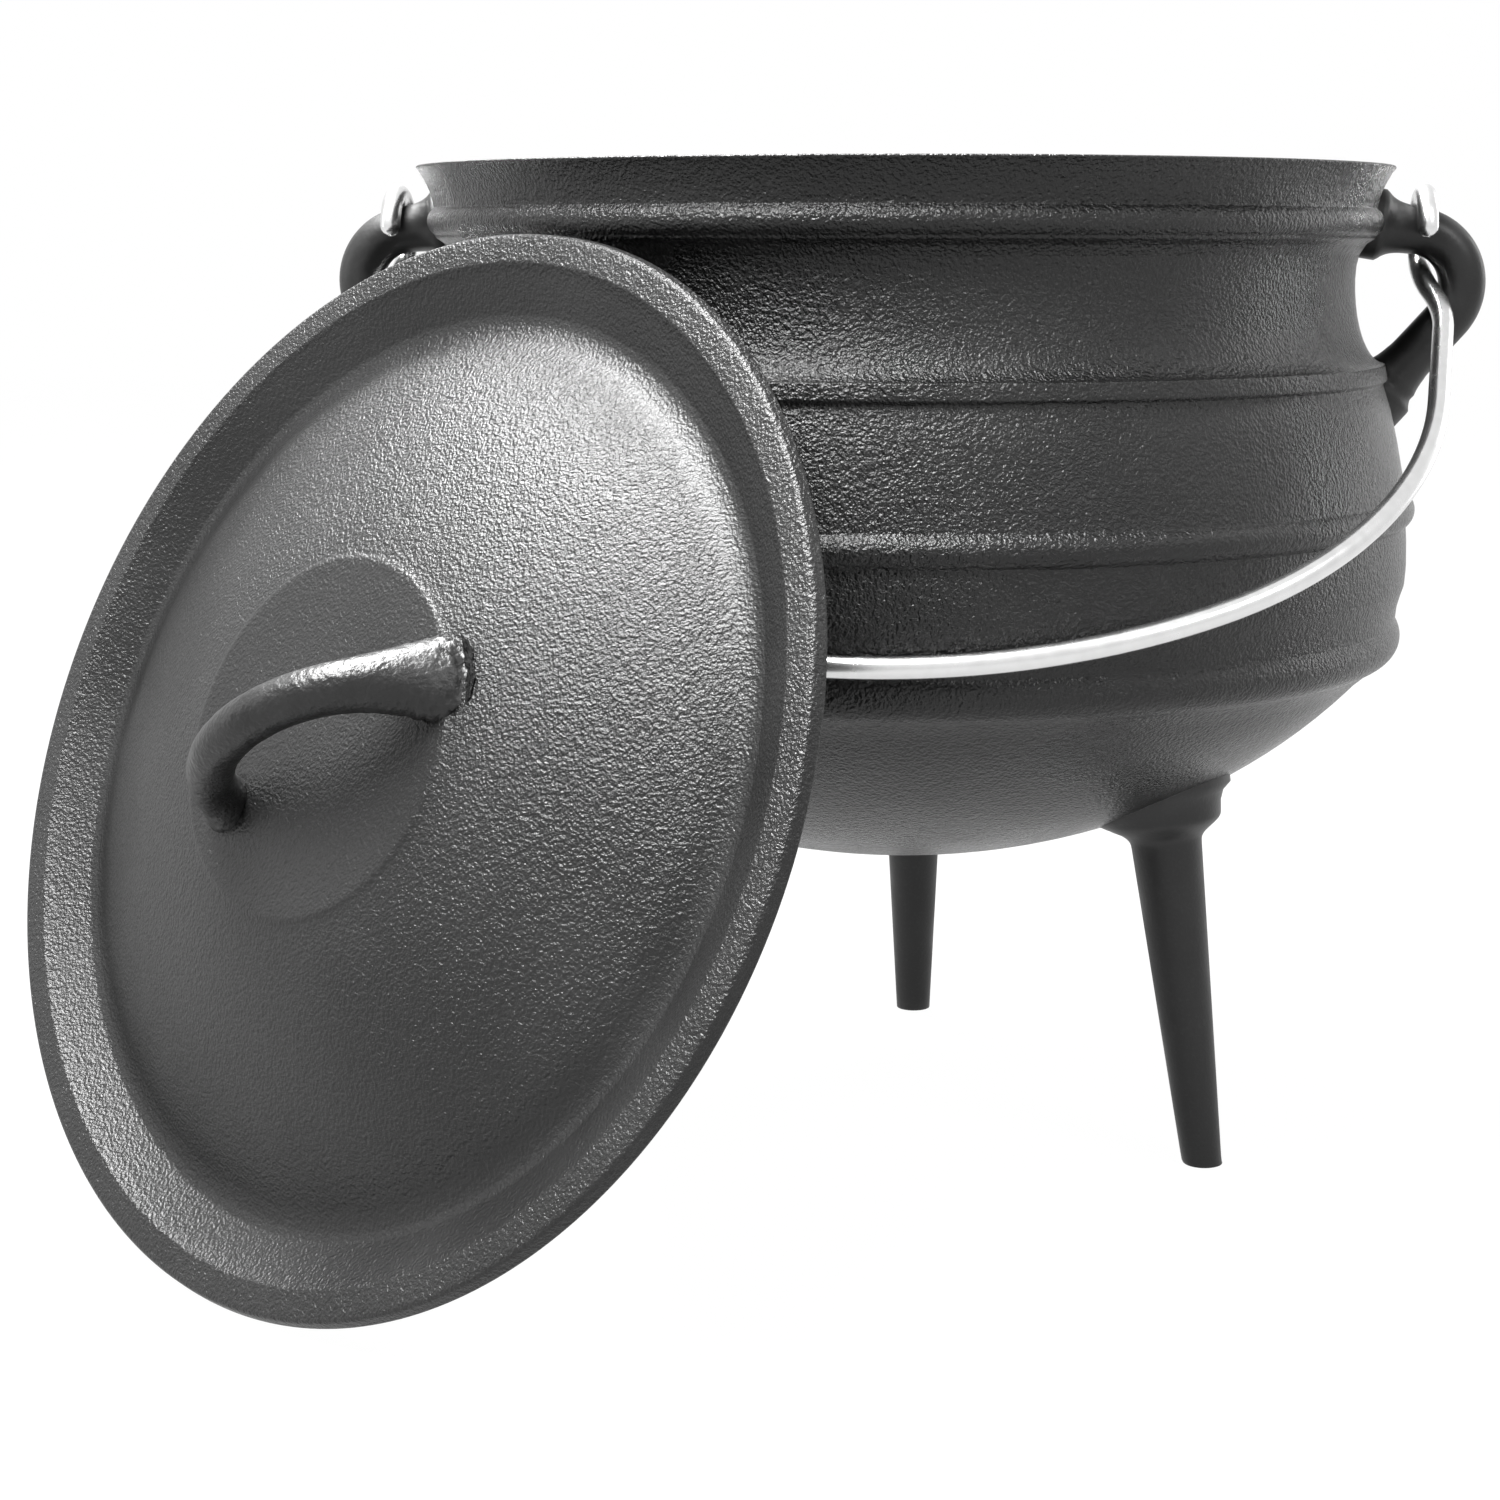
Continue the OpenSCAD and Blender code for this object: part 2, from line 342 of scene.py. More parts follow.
def soften(points: Sequence[Point], blur: float, step: float, turn: float) -> np.ndarray:
    """Rounds the corners of an outline and spaces its points by their bend.

    Args:
        points: corners of the outline
        blur: size of the rounding in millimetres
        step: longest distance between points
        turn: largest bend between points in degrees

    Returns:
        The new points, one row each.
    """
    fine = 0.2
    raw = np.array(points, dtype=float)
    along = np.r_[0.0, np.cumsum(np.hypot(*np.diff(raw, axis=0).T))]
    even = np.linspace(0.0, along[-1], int(along[-1] / fine) + 2)
    line = np.column_stack([np.interp(even, along, raw[:, k]) for k in (0, 1)])
    reach = int(math.ceil(3 * blur / fine))
    bell = np.exp(-0.5 * (np.arange(-reach, reach + 1) * fine / blur) ** 2)
    bell /= bell.sum()
    before = 2 * line[0] - line[reach:0:-1]
    after = 2 * line[-1] - line[-2 : -reach - 2 : -1]
    wide = np.vstack([before, line, after])
    smooth = np.column_stack([np.convolve(wide[:, k], bell, "valid") for k in (0, 1)])
    edges = np.diff(smooth, axis=0)
    heading = np.unwrap(np.arctan2(edges[:, 1], edges[:, 0]))
    bend = np.r_[0.0, np.abs(np.diff(heading)), 0.0]
    length = np.r_[0.0, np.hypot(*edges.T)]
    cost = np.cumsum(length / step + np.degrees(bend) / turn)
    picks = np.linspace(cost[0], cost[-1], int(cost[-1]) + 2)
    return np.column_stack([np.interp(picks, cost, smooth[:, k]) for k in (0, 1)])


def new_object(name: str, mesh: bpy.types.Mesh, material: bpy.types.Material) -> bpy.types.Object:
    """Puts a mesh in the scene with one material and smooth shading."""
    mesh.materials.clear()
    mesh.materials.append(material)
    for face in mesh.polygons:
        face.use_smooth = True
    piece = bpy.data.objects.new(name, mesh)
    bpy.context.scene.collection.objects.link(piece)
    return piece


def set_tone_and_shade(mesh: bpy.types.Mesh, tones_and_shade: Iterable[float]) -> None:
    """Writes the attribute tone, which the iron reads; below 1 it darkens, and in the lid's ring channel that
    darkening is painted shade.
    """
    layer = mesh.attributes.new("tone_and_shade", "FLOAT", "POINT")
    layer.data.foreach_set("value", np.fromiter(tones_and_shade, dtype=np.float32))


def revolve(outline: np.ndarray, sides: int, place: Matrix, name: str) -> bpy.types.Mesh:
    """Turns an outline about the local z axis into a closed mesh.

    Args:
        outline: radius and height of each point, in millimetres
        sides: number of steps round
        place: where the piece goes, in metres
        name: name of the mesh

    Returns:
        The mesh, with its doubled points on the axis merged.
    """
    turns = np.arange(sides) * 2 * math.pi / sides
    rings = np.empty((len(outline), sides, 3))
    rings[:, :, 0] = outline[:, :1] * np.cos(turns)
    rings[:, :, 1] = outline[:, :1] * np.sin(turns)
    rings[:, :, 2] = outline[:, 1:]
    count = len(outline)
    faces = []
    for i in range(count - 1):
        for j in range(sides):
            k = (j + 1) % sides
            faces.append((i * sides + j, i * sides + k, (i + 1) * sides + k, (i + 1) * sides + j))
    mesh = bpy.data.meshes.new(name)
    mesh.from_pydata((rings.reshape(-1, 3) * MM).tolist(), [], faces)
    tidy_mesh(mesh)
    mesh.transform(place)
    return mesh


def tidy_mesh(mesh: bpy.types.Mesh) -> None:
    """Merges doubled points and turns every face outwards."""
    work = bmesh.new()
    work.from_mesh(mesh)
    bmesh.ops.remove_doubles(work, verts=work.verts, dist=1e-7)
    bmesh.ops.dissolve_degenerate(work, dist=1e-8, edges=work.edges)
    bmesh.ops.recalc_face_normals(work, faces=work.faces)
    work.to_mesh(mesh)
    work.free()


class TubeMaker:
    """Geometry Nodes that run a round bar of changing thickness along a line."""

    def __init__(self) -> None:
        """Builds the node tree with its line, sides and finish as inputs."""
        tree = bpy.data.node_groups.new("bar_along_line", "GeometryNodeTree")
        face = tree.interface
        face.new_socket("Line", in_out="INPUT", socket_type="NodeSocketGeometry")
        self.sides = face.new_socket("Sides", in_out="INPUT", socket_type="NodeSocketInt").identifier
        finish = face.new_socket("Finish", in_out="INPUT", socket_type="NodeSocketMaterial")
        self.finish = finish.identifier
        face.new_socket("Bar", in_out="OUTPUT", socket_type="NodeSocketGeometry")
        self.tree = tree
        start = tree.nodes.new("NodeGroupInput")
        to_curve = self._step("GeometryNodeMeshToCurve", start.outputs["Line"], "Mesh")
        thick = tree.nodes.new("GeometryNodeInputNamedAttribute")
        thick.data_type = "FLOAT"
        thick.inputs["Name"].default_value = "thickness"
        round_one = tree.nodes.new("GeometryNodeCurvePrimitiveCircle")
        round_one.inputs["Radius"].default_value = 1.0
        self._link(start.outputs["Sides"], round_one.inputs["Resolution"])
        bar = self._step("GeometryNodeCurveToMesh", to_curve, "Curve")
        self._link(thick.outputs["Attribute"], bar.node.inputs["Scale"])
        self._link(round_one.outputs["Curve"], bar.node.inputs["Profile Curve"])
        bar.node.inputs["Fill Caps"].default_value = True
        real = self._step("GeometryNodeRealizeInstances", bar, "Geometry")
        dressed = self._step("GeometryNodeSetMaterial", real, "Geometry")
        self._link(start.outputs["Finish"], dressed.node.inputs["Material"])
        end = tree.nodes.new("NodeGroupOutput")
        self._link(dressed, end.inputs["Bar"])

    def _link(self, source: bpy.types.NodeSocket, target: bpy.types.NodeSocket) -> None:
        """Joins two sockets."""
        self.tree.links.new(source, target)

    def _step(self, kind: str, source: bpy.types.NodeSocket, name: str) -> bpy.types.NodeSocket:
        """Adds a node fed by one socket and returns its first output."""
        node = self.tree.nodes.new(kind)
        self._link(source, node.inputs[name])
        return node.outputs[0]

    def make(
        self, name: str, path: np.ndarray, thickness: np.ndarray, sides: int, finish: bpy.types.Material
    ) -> bpy.types.Mesh:
        """Makes one bar and bakes it.

        Args:
            name: name of the mesh
            path: points of the line in millimetres
            thickness: radius of the bar at each point in millimetres
            sides: number of steps round the bar
            finish: its material

        Returns:
            The closed mesh.
        """
        line = bpy.data.meshes.new(name + "_line")
        line.from_pydata((path * MM).tolist(), [(i, i + 1) for i in range(len(path) - 1)], [])
        layer = line.attributes.new("thickness", "FLOAT", "POINT")
        layer.data.foreach_set("value", (thickness * MM).astype(np.float32))
        holder = bpy.data.objects.new(name + "_line", line)
        bpy.context.scene.collection.objects.link(holder)
        modifier = holder.modifiers.new("bar", "NODES")
        modifier.node_group = self.tree
        modifier[self.sides] = sides
        modifier[self.finish] = finish
        depsgraph = bpy.context.evaluated_depsgraph_get()
        mesh = bpy.data.meshes.new_from_object(holder.evaluated_get(depsgraph))
        mesh.name = name
        holder.modifiers.clear()
        bpy.data.objects.remove(holder)
        bpy.data.meshes.remove(line)
        tidy_mesh(mesh)
        return mesh


def spaced(path: np.ndarray, step: float) -> np.ndarray:
    """Spaces the points of a line evenly, about step apart."""
    along = np.r_[0.0, np.cumsum(np.linalg.norm(np.diff(path, axis=0), axis=1))]
    even = np.linspace(0.0, along[-1], max(2, int(along[-1] / step)))
    return np.column_stack([np.interp(even, along, path[:, k]) for k in range(3)])


def run_of(path: np.ndarray) -> np.ndarray:
    """Returns the distance along a line at each of its points."""
    return np.r_[0.0, np.cumsum(np.linalg.norm(np.diff(path, axis=0), axis=1))]


@dataclass
class Pot:
    """The pot's casting with its legs and ears."""

    rim_r: float = 130.0
    rim_h: float = 260.0
    wall: float = 4.5
    neck_r: float = 120.3
    neck_h: float = 231.0
    rib_r: float = 129.6
    rib_h: float = 204.9
    bowl_a: float = 156.2
    bowl_b: float = 126.3
    bowl_h: float = 201.8
    foot_ring: float = 97.0
    foot_r: float = 5.2
    leg_top_r: float = 9.3
    leg_lean: float = 8.6
    boss_h: float = 90.0
    boss_r: float = 15.0
    ear_bar: float = 6.2
    ear_bend: Point = (134.9, 229.6)
    ear_bend_r: float = 14.0

    def bowl_line(self, drawn_in: float, top: float, steps: int) -> Shape:
        """Points of the bottom, from the axis up to the height top."""
        last = math.acos((self.bowl_h - top) / (self.bowl_b - drawn_in))
        turns = [last * i / steps for i in range(steps + 1)]
        a = self.bowl_a - drawn_in
        b = self.bowl_b - drawn_in
        return [(a * math.sin(t), self.bowl_h - b * math.cos(t)) for t in turns]

    def outer(self) -> Shape:
        """Points of the outside, from the lower bead up to the lip."""
        belly = arc(128.3, 137.2, 7.0, -75, 38, 12)
        belly += [(134.2, 145.5), (134.9, 148.2), (135.9, 151.2), (136.2, 156.0), (136.0, 163.0)]
        belly += arc(133.4, 170.9, 4.5, -60, 64, 12)
        belly += [(134.2, 181.0), (132.6, 189.0), (130.7, 197.0), (128.4, 203.9)]
        belly += [(self.rib_r, self.rib_h), (128.9, self.rib_h + 3.7)]
        cove_h = self.neck_h - self.rib_h - 4.0
        turns = [math.radians(9 * i) for i in range(11)]
        cove = [(self.neck_r + 8.6 * (1 - math.sin(t)), self.neck_h - cove_h * math.cos(t)) for t in turns]
        neck = [(120.5, 234.4), (121.2, 237.4), (122.9, 240.0), (125.1, 241.4)]
        neck += arc(123.3, 245.6, 4.0, -62, 60, 10)
        neck += [(125.6, 250.5), (126.4, 253.4), (127.6, 256.0), (129.0, 258.4)]
        return belly + cove + neck + [(self.rim_r, self.rim_h - 0.4), (129.6, self.rim_h)]

    def inner(self) -> Shape:
        """Points of the inside, from the lip down to the bottom."""
        wall = [(126.0, self.rim_h), (125.2, 259.2), (123.0, 255.0), (120.8, 248.0), (117.4, 240.0)]
        wall += [(115.8, self.neck_h), (117.6, 220.0), (121.4, 211.0), (124.4, 203.0), (127.0, 193.0)]
        wall += [(130.0, 178.0), (131.6, 165.0), (131.7, 156.0), (130.2, 145.0), (126.4, 133.0)]
        return wall + self.bowl_line(self.wall, 127.0, 40)[::-1]

    def skin(self, z: np.ndarray) -> np.ndarray:
        """Outer radius of the belly and neck at each height."""
        table = np.array(sorted(self.outer(), key=lambda p: p[1]))
        return np.interp(z, table[:, 1], table[:, 0])

    def make_body(self, finish: bpy.types.Material) -> bpy.types.Object:
        """Makes the round casting with its softened ribs and beads."""
        shape = self.bowl_line(0.0, 126.4, 50) + self.outer() + self.inner()
        outline = soften(shape, 0.3, 7.0, 7.0)
        outline[0, 0] = 0.0
        outline[-1, 0] = 0.0
        mesh = revolve(outline, 288, Matrix.Identity(4), "pot_casting")
        set_tone_and_shade(mesh, (1.0 for _ in mesh.vertices))
        return new_object("pot_casting", mesh, finish)

    def make_leg(self, name: str, angle: float, finish: bpy.types.Material) -> bpy.types.Object:
        """Makes one leg with its collar and boss, sunk a little into the bottom.

        Args:
            name: name of the piece
            angle: where it stands round the pot, in degrees
            finish: its material

        Returns:
            The piece.
        """
        slant = self.boss_h / math.cos(math.radians(self.leg_lean))
        side = [(0.0, -3.0), (self.foot_r, -3.0), (self.foot_r, 0.0), (self.leg_top_r, slant - 4.0)]
        side += [(10.4, slant - 2.6), (13.6, slant - 0.2), (self.boss_r, slant + 1.2)]
        side += [(self.boss_r, slant + 30.0), (0.0, slant + 30.0)]
        outline = soften(side, 0.8, 2.5, 8.0)
        outline[0, 0] = 0.0
        outline[-1, 0] = 0.0
        turn = Matrix.Rotation(math.radians(angle), 4, "Z")
        lean = Matrix.Rotation(math.radians(-self.leg_lean), 4, "Y")
        place = turn @ Matrix.Translation((self.foot_ring * MM, 0.0, 0.0)) @ lean
        mesh = revolve(outline, 72, place, name)
        axis_top = place @ Vector((0.0, 0.0, slant * MM))
        for vertex in mesh.vertices:
            vertex.co = self._grow_from_bowl(vertex.co / MM, axis_top / MM) * MM
        tidy_mesh(mesh)
        set_tone_and_shade(mesh, (1.0 for _ in mesh.vertices))
        return new_object(name, mesh, finish)

    def _grow_from_bowl(self, spot: Vector, top: Vector) -> Vector:
        """Flattens the foot, flares the boss near the bottom and keeps its end inside the wall."""
        rounding = 1.3
        flare = 3.4
        flare_fade = 1.8
        if spot.z < rounding:
            spot.z = rounding * math.exp((spot.z - rounding) / rounding) - 0.05
            spot.z = max(spot.z, 0.0)
        level = math.hypot(math.hypot(spot.x, spot.y) / self.bowl_a, (spot.z - self.bowl_h) / self.bowl_b)
        outside = (level - 1.0) * self.bowl_b
        if spot.z > self.boss_h - 2.0:
            away = Vector((spot.x - top.x, spot.y - top.y, 0.0))
            if away.length > 1.0:
                spot = spot + away.normalized() * flare * math.exp(-max(outside, 0.0) / flare_fade)
        depth = 1.6
        inner = math.hypot(
            math.hypot(spot.x, spot.y) / (self.bowl_a - depth),
            (spot.z - self.bowl_h) / (self.bowl_b - depth),
        )
        if inner < 1.0 and spot.z > self.boss_h - 20.0:
            spot = Vector((spot.x / inner, spot.y / inner, self.bowl_h + (spot.z - self.bowl_h) / inner))
        return spot

    def make_ear(
        self, name: str, side: int, tubes: TubeMaker, finish: bpy.types.Material
    ) -> bpy.types.Object:
        """Makes one bent ear whose two arms grow out of the neck.

        Args:
            name: name of the piece
            side: 1 for the ear on +X, -1 for the other
            tubes: maker of bars along lines
            finish: its material

        Returns:
            The piece.
        """
        bend = arc(self.ear_bend[0], self.ear_bend[1], self.ear_bend_r, 81, -41.5, 40)
        top = math.radians(171.0)
        low = math.radians(228.5)
        top_arm = 20.0
        low_arm = 31.0
        first = (bend[0][0] + top_arm * math.cos(top), bend[0][1] + top_arm * math.sin(top))
        last = (bend[-1][0] + low_arm * math.cos(low), bend[-1][1] + low_arm * math.sin(low))
        flat = np.array([first] + bend + [last])
        path = spaced(np.column_stack([flat[:, 0], np.zeros(len(flat)), flat[:, 1]]), 0.8)
        gap = np.hypot(path[:, 0], path[:, 1]) - self.skin(path[:, 2])
        flare = 3.2 * np.exp(-np.maximum(gap, 0.0) / 2.6)
        mesh = tubes.make(name, path, self.ear_bar + flare, 48, finish)
        for vertex in mesh.vertices:
            spot = vertex.co / MM
            far = math.hypot(spot.x, spot.y)
            least = float(self.skin(np.array([spot.z]))[0]) - 1.5
            if far < least:
                spot.x *= least / far
                spot.y *= least / far
            vertex.co = Vector((spot.x * side, spot.y, spot.z)) * MM
        tidy_mesh(mesh)
        set_tone_and_shade(mesh, (1.0 for _ in mesh.vertices))
        return new_object(name, mesh, finish)


@dataclass
class Bail:
    """The wire handle, lying on the front of the belly."""

    wire_r: float = 2.75
    hinge_h: float = 242.9
    hook_r: float = 10.2
    hook_turn: float = 245.0
    reach: float = 168.6
    bow_r: float = 165.0
    bow_half: float = 29.0
    side_r: float = 114.0
    side_turn: float = 54.0
    swan_r: float = 40.0
    swan_turn: float = 18.0
    drop: float = 32.0

    def half_line(self) -> np.ndarray:
        """Points of one half, from the middle of the bow to the end of its hook."""
        half = self.bow_half
        slope = math.radians(90 - half - self.side_turn)
        bow_y = self.bow_r - self.reach
        side_x = (self.bow_r - self.side_r) * math.sin(math.radians(half))
        side_y = bow_y - (self.bow_r - self.side_r) * math.cos(math.radians(half))
        end_x = side_x + self.side_r * math.cos(slope)
        end_y = side_y - self.side_r * math.sin(slope)
        swing = math.radians(self.swan_turn)
        swan_y = -self.swan_r * (math.sin(slope) + 2 * math.sin(swing))
        swan_x = end_x + (swan_y - end_y) * math.tan(slope)
        hook_x = swan_x + self.swan_r * (2 * math.cos(swing) - math.cos(slope) - 1)
        flat = arc(0.0, bow_y, self.bow_r, -90, half - 90, 60)
        flat += arc(side_x, side_y, self.side_r, half - 90, half - 90 + self.side_turn, 60)
        centre = (swan_x - self.swan_r * math.cos(slope), swan_y + self.swan_r * math.sin(slope))
        flat += arc(centre[0], centre[1], self.swan_r, -math.degrees(slope), self.swan_turn, 24)
        flat += arc(hook_x + self.swan_r, 0.0, self.swan_r, 180 + self.swan_turn, 180, 20)
        bow = [(x, y, -self.hook_r) for x, y in flat]
        turns = [math.radians(self.hook_turn * i / 70) for i in range(1, 71)]
        hook = [(hook_x, self.hook_r * math.sin(t), -self.hook_r * math.cos(t)) for t in turns]
        return np.array(bow + hook)

    def make(self, tubes: TubeMaker, finish: bpy.types.Material) -> bpy.types.Object:
        """Makes the wire in one length, with rounded ends.

        Args:
            tubes: maker of bars along lines
            finish: its material

        Returns:
            The piece.
        """
        half = self.half_line()
        other = half[::-1] * np.array([-1.0, 1.0, 1.0])
        path = spaced(np.vstack([other[:-1], half]), 1.0)
        tilt = math.radians(self.drop)
        turned = path.copy()
        turned[:, 1] = path[:, 1] * math.cos(tilt) - path[:, 2] * math.sin(tilt)
        turned[:, 2] = path[:, 1] * math.sin(tilt) + path[:, 2] * math.cos(tilt) + self.hinge_h
        run = run_of(turned)
        cap = 5
        nose = self.wire_r * (1 - np.cos(np.linspace(0.12, math.pi / 2, cap)))
        first = np.interp(nose, run, turned[:, 0]), np.interp(nose, run, turned[:, 1])
        head = np.column_stack([*first, np.interp(nose, run, turned[:, 2])])
        tail = (head * np.array([-1.0, 1.0, 1.0]))[::-1]
        inside = (run > self.wire_r * 1.1) & (run < run[-1] - self.wire_r * 1.1)
        line = np.vstack([head, turned[inside], tail])
        size = np.full(len(line), self.wire_r)
        size[:cap] = self.wire_r * np.sin(np.linspace(0.12, math.pi / 2, cap))
        size[-cap:] = size[:cap][::-1]
        mesh = tubes.make("bail_wire", line, size, 28, finish)
        return new_object("bail_wire", mesh, finish)


@dataclass(frozen=True)
class GripRoot:
    """Where one end of the lid's handle meets the pad.

    Args:
        height: how high the root reaches in millimetres
        widen: how much wider the bar gets across the handle
        lengthen: how much longer it gets along the handle
        torn: how ragged its foot is
    """

    height: float
    widen: float
    lengthen: float
    torn: float


WIDE_ROOT = GripRoot(20.0, 0.95, 0.3, 1.1)
SLIM_ROOT = GripRoot(7.0, 0.35, 0.2, 0.5)


@dataclass
class Lid:
    """The loose lid with its handle, leaning on the pot's neck."""

    lid_r: float = 130.2
    skirt_r: float = 131.0
    rim_t: float = 4.0
    edge_r: float = 122.5
    channel_r: float = 109.5
    channel_d: float = 6.8
    dome_r: float = 207.0
    pad_r: float = 43.5
    pad_h: float = 19.2
    azimuth: float = 233.0
    lean: float = 22.3
    out: float = 179.0
    bearing: float = 230.2
    corner: float = 1.4
    grip_arch_r: float = 38.0
    grip_arch_h: float = 3.5
    grip_bar: float = 5.1
    grip_turn: float = 31.9
    grip_shift: Point = (1.0, 5.5)
    grip_rough: float = 0.14
    root_middle: float = 34.0
    root_sink: float = 1.4
    # Tone by radius in mm: the middle pad is darker and smoother, and the ring channel is darkened most
    # between 105 and 119 mm as painted shade in its recess.
    tone_and_channel_shade_by_radius = ((41.0, 48.0, 100.0, 105.0, 119.0, 123.0), (0.65, 1.0, 1.0, 0.6, 0.6, 1.0))

    def place(self) -> Matrix:
        """Carries the lid's own frame to where it leans, in metres."""
        lean = math.radians(self.lean)
        drop = (self.skirt_r - self.corner) * math.cos(lean)
        height = drop + (self.rim_t - self.corner) * math.sin(lean) + self.corner
        side = math.radians(self.bearing)
        spot = Vector((self.out * math.cos(side), self.out * math.sin(side), height)) * MM
        turn = Matrix.Rotation(math.radians(self.azimuth), 4, "Z")
        return Matrix.Translation(spot) @ turn @ Matrix.Rotation(math.radians(90 - self.lean), 4, "Y")

    def dome(self, r: float) -> float:
        """Height of the dome over the face of the rim at radius r."""
        top = self.pad_h - 0.6
        drop = math.sqrt(self.dome_r**2 - self.pad_r**2) - math.sqrt(self.dome_r**2 - r**2)
        return top - drop

    def outline(self) -> Shape:
        """Points of the section, from the middle of the top round to the middle underneath."""
        top = [(0.0, self.pad_h), (self.pad_r - 1.2, self.pad_h), (self.pad_r - 0.3, self.pad_h - 0.25)]
        radii = [self.pad_r + 0.2 + (105.0 - self.pad_r) * i / 24 for i in range(25)]
        top += [(r, self.dome(r)) for r in radii]
        low = -self.channel_d
        top += [(self.channel_r - 2, low + 0.4), (self.channel_r, low), (self.channel_r + 2.2, low + 0.3)]
        top += [(self.channel_r + 4.4, low + 1.6), (self.edge_r - 0.5, -0.5), (self.edge_r, 0.0)]
        rim = arc(self.lid_r - self.corner, -self.corner, self.corner, 90, 0, 6)
        rim += arc(self.skirt_r - self.corner, self.corner - self.rim_t, self.corner, -self.lean, -90, 5)
        under = [(121.0, -4.0), (119.5, -4.8), (115.9, -10.8), (114.9, -11.4), (104.0, -11.4), (102.4, -10.6)]
        inner = [100.0 * i / 24 for i in range(24, -1, -1)]
        return top + rim + under + [(r, self.dome(r) - 4.2) for r in inner]

    def make_plate(self, finish: bpy.types.Material) -> bpy.types.Object:
        """Makes the round casting, darker and smoother on its middle pad, with painted shade darkening its
        ring channel.
        """
        outline = soften(self.outline(), 0.35, 5.0, 6.0)
        outline[0, 0] = 0.0
        outline[-1, 0] = 0.0
        place = self.place()
        mesh = revolve(outline, 288, place, "lid_casting")
        back = place.inverted()
        tones_and_shade = []
        for vertex in mesh.vertices:
            local = back @ vertex.co / MM
            far = math.hypot(local.x, local.y)
            # Painted shade: the ring channel is darkened by its radius; the pad is darker by its own tone.
            tones_and_shade.append(float(np.interp(far, *self.tone_and_channel_shade_by_radius)))
        set_tone_and_shade(mesh, tones_and_shade)
        return new_object("lid_casting", mesh, finish)

    def make_grip(self, tubes: TubeMaker, finish: bpy.types.Material) -> bpy.types.Object:
        """Makes the cast handle, with a wide ragged root on its upper right.

        Args:
            tubes: maker of bars along lines
            finish: its material

        Returns:
            The piece.
        """
        bend = arc(0.0, self.grip_arch_h, self.grip_arch_r, 172, 8, 120)
        path = spaced(np.array([(0.0, y, h) for y, h in bend]), 0.7)
        run = run_of(path) / run_of(path)[-1]
        size = self.grip_bar + 0.5 * np.sin(math.pi * run)
        mesh = tubes.make("lid_grip", path, size, 40, finish)
        place = self.place() @ Matrix.Translation((self.grip_shift[0] * MM, self.grip_shift[1] * MM, 0.0))
        place = place @ Matrix.Rotation(math.radians(self.grip_turn), 4, "Z")
        for vertex in mesh.vertices:
            vertex.co = place @ (self._rough_root(vertex.co / MM) * MM)
        tidy_mesh(mesh)
        set_tone_and_shade(mesh, (1.0 for _ in mesh.vertices))
        return new_object("lid_grip", mesh, finish)

    def _rough_root(self, spot: Vector) -> Vector:
        """Widens both roots, makes them ragged and keeps their ends inside the pad."""
        rise = spot.z - self.pad_h
        root = WIDE_ROOT if spot.y > 0 else SLIM_ROOT
        if rise < root.height:
            near = 1.0 - max(rise, 0.0) / root.height
            spread = near**1.6
            spot.x *= 1.0 + root.widen * spread
            middle = math.copysign(self.root_middle, spot.y)
            spot.y = middle + (spot.y - middle) * (1.0 + root.lengthen * spread)
            torn = near**4 * root.torn
            fine = spot * 0.9
            shift = Vector((noise.noise(fine), noise.noise(fine + Vector((9.0, 0.0, 0.0))), 0.0))
            spot = spot + shift * torn * 1.4
        spot = spot + spot.normalized() * noise.noise(spot * 0.35) * self.grip_rough
        spot.z = max(spot.z, self.pad_h - self.root_sink)
        return spot


@dataclass(frozen=True)
class SoftLight:
    """One studio softbox.

    Args:
        name: name of the light
        spot: where it hangs, in metres
        aim: what it points at, in metres
        width: width of the box in metres
        depth: height of the box in metres
        power: power in watts
    """

    name: str
    spot: tuple[float, float, float]
    aim: tuple[float, float, float]
    width: float
    depth: float
    power: float

    def make(self) -> None:
        """Puts the light in the scene."""
        lamp = bpy.data.lights.new(self.name, "AREA")
        lamp.shape = "RECTANGLE"
        lamp.size = self.width
        lamp.size_y = self.depth
        lamp.energy = self.power
        holder = bpy.data.objects.new(self.name, lamp)
        holder.location = self.spot
        way = Vector(self.aim) - Vector(self.spot)
        holder.rotation_euler = way.to_track_quat("-Z", "Y").to_euler()
        bpy.context.scene.collection.objects.link(holder)


LIGHTS = (
    SoftLight("overhead_box", (-0.35, -0.05, 1.1), (-0.05, -0.05, 0.15), 1.4, 0.5, 96.0),
    SoftLight("right_box", (1.0, 0.75, 0.45), (0.1, 0.0, 0.15), 0.4, 0.9, 2.5),
    SoftLight("right_front_box", (0.8, -0.7, 0.95), (0.05, -0.05, 0.18), 0.4, 0.4, 3.5),
    SoftLight("left_box", (-1.3, -0.2, 0.6), (-0.1, 0.0, 0.12), 0.5, 1.0, 2.0),
)


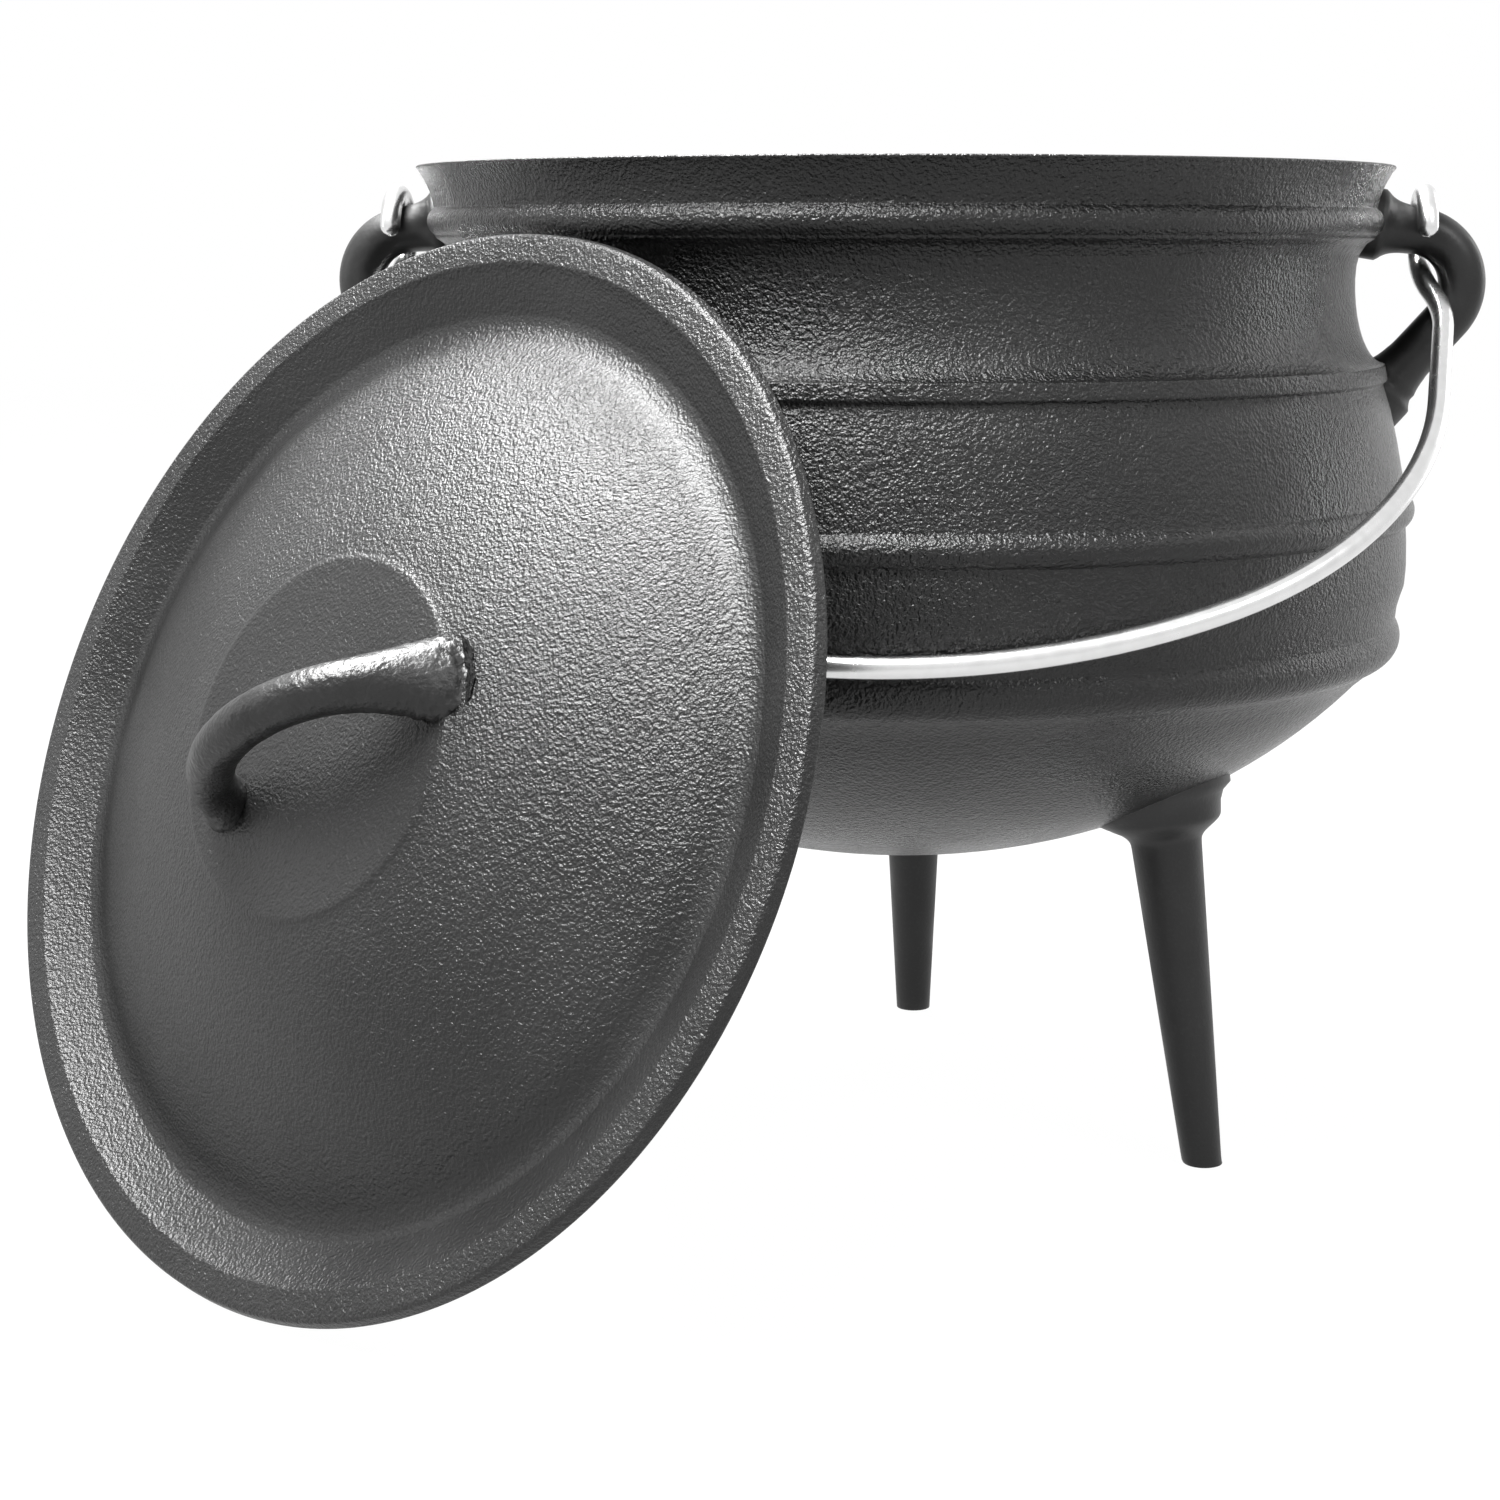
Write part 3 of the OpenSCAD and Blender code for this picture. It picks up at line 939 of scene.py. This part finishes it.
class Studio:
    """Camera, lights, floor and background."""

    camera_spot = (0.0414, -0.7667, 0.2412)
    camera_right = (0.99586, 0.09088, 0.00108)
    camera_up = (-0.01713, 0.17596, 0.98425)
    camera_forward = (-0.08926, 0.98019, -0.17679)
    lens_mm = 67.13
    sensor_mm = 36.0
    shift = (-0.0315, -0.0059)
    floor_half = 4.0
    ambient = 0.03

    def build(self) -> None:
        """Makes the whole studio."""
        self._camera()
        self._world()
        self._floor()
        for light in LIGHTS:
            light.make()

    def _camera(self) -> None:
        """Puts the camera where the photograph was taken from."""
        lens = bpy.data.cameras.new("photo_camera")
        lens.sensor_width = self.sensor_mm
        lens.lens = self.lens_mm
        lens.shift_x, lens.shift_y = self.shift
        holder = bpy.data.objects.new("photo_camera", lens)
        back = tuple(-v for v in self.camera_forward)
        turn = Matrix((self.camera_right, self.camera_up, back)).transposed()
        holder.matrix_world = Matrix.Translation(self.camera_spot) @ turn.to_4x4()
        bpy.context.scene.collection.objects.link(holder)
        bpy.context.scene.camera = holder

    def _world(self) -> None:
        """Makes a dim world that looks white to the camera and in reflections."""
        world = bpy.data.worlds.new("white_studio")
        world.use_nodes = True
        tree = world.node_tree
        tree.nodes.clear()
        path = tree.nodes.new("ShaderNodeLightPath")
        straight = tree.nodes.new("ShaderNodeMath")
        straight.operation = "MAXIMUM"
        shown = tree.nodes.new("ShaderNodeMath")
        shown.operation = "MAXIMUM"
        tree.links.new(path.outputs["Is Camera Ray"], straight.inputs[0])
        tree.links.new(path.outputs["Is Glossy Ray"], straight.inputs[1])
        tree.links.new(straight.outputs[0], shown.inputs[0])
        tree.links.new(path.outputs["Is Transmission Ray"], shown.inputs[1])
        seen = tree.nodes.new("ShaderNodeBackground")
        seen.inputs["Strength"].default_value = 1.0
        seen.inputs["Color"].default_value = (1.0, 1.0, 1.0, 1.0)
        felt = tree.nodes.new("ShaderNodeBackground")
        felt.inputs["Strength"].default_value = self.ambient
        felt.inputs["Color"].default_value = (1.0, 1.0, 1.0, 1.0)
        mix = tree.nodes.new("ShaderNodeMixShader")
        out = tree.nodes.new("ShaderNodeOutputWorld")
        tree.links.new(shown.outputs[0], mix.inputs[0])
        tree.links.new(felt.outputs[0], mix.inputs[1])
        tree.links.new(seen.outputs[0], mix.inputs[2])
        tree.links.new(mix.outputs[0], out.inputs["Surface"])
        bpy.context.scene.world = world
        bpy.context.scene.view_settings.view_transform = "Standard"

    def _floor(self) -> None:
        """Lays the floor just under the feet."""
        mesh = bpy.data.meshes.new("studio_floor")
        s = self.floor_half
        z = -0.0002
        mesh.from_pydata([(-s, -s, z), (s, -s, z), (s, s, z), (-s, s, z)], [], [(0, 1, 2, 3)])
        floor = new_object("studio_floor", mesh, floor_material())


def dress(piece: bpy.types.Object, body: Body, node: str) -> None:
    """Makes a piece stand for its CAD node.

    Args:
        piece: the piece
        body: the body that it moves with
        node: the node that it replaces
    """
    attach(piece, body.value)
    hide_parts(node)
    LOG.info("%s stands for %s", piece.name, node)


def build_pot(tubes: TubeMaker) -> None:
    """Makes the pot, its legs and its ears."""
    pot = Pot()
    dress(pot.make_body(iron_material(POT_IRON)), Body.POT, "pot_body")
    leg_iron = iron_material(LEG_IRON)
    for node, angle in (("leg_front_right", -30.0), ("leg_front_left", 210.0), ("leg_back", 90.0)):
        dress(pot.make_leg("cast_" + node, angle, leg_iron), Body.POT, node)
    ear_iron = iron_material(EAR_IRON)
    for node, side in (("ear_right", 1), ("ear_left", -1)):
        dress(pot.make_ear("cast_" + node, side, tubes, ear_iron), Body.POT, node)


def build_lid(tubes: TubeMaker) -> None:
    """Makes the lid and its handle."""
    lid = Lid()
    dress(lid.make_plate(iron_material(LID_IRON)), Body.LID, "lid_plate")
    dress(lid.make_grip(tubes, iron_material(GRIP_IRON)), Body.LID, "lid_handle")


def main() -> None:
    """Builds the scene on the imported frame."""
    logging.basicConfig(level=logging.INFO)
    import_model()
    Studio().build()
    tubes = TubeMaker()
    build_pot(tubes)
    dress(Bail().make(tubes, steel_material(BAIL_STEEL)), Body.BAIL, "bail")
    build_lid(tubes)
    LOG.info("scene built")


if __name__ == "__main__":
    main()
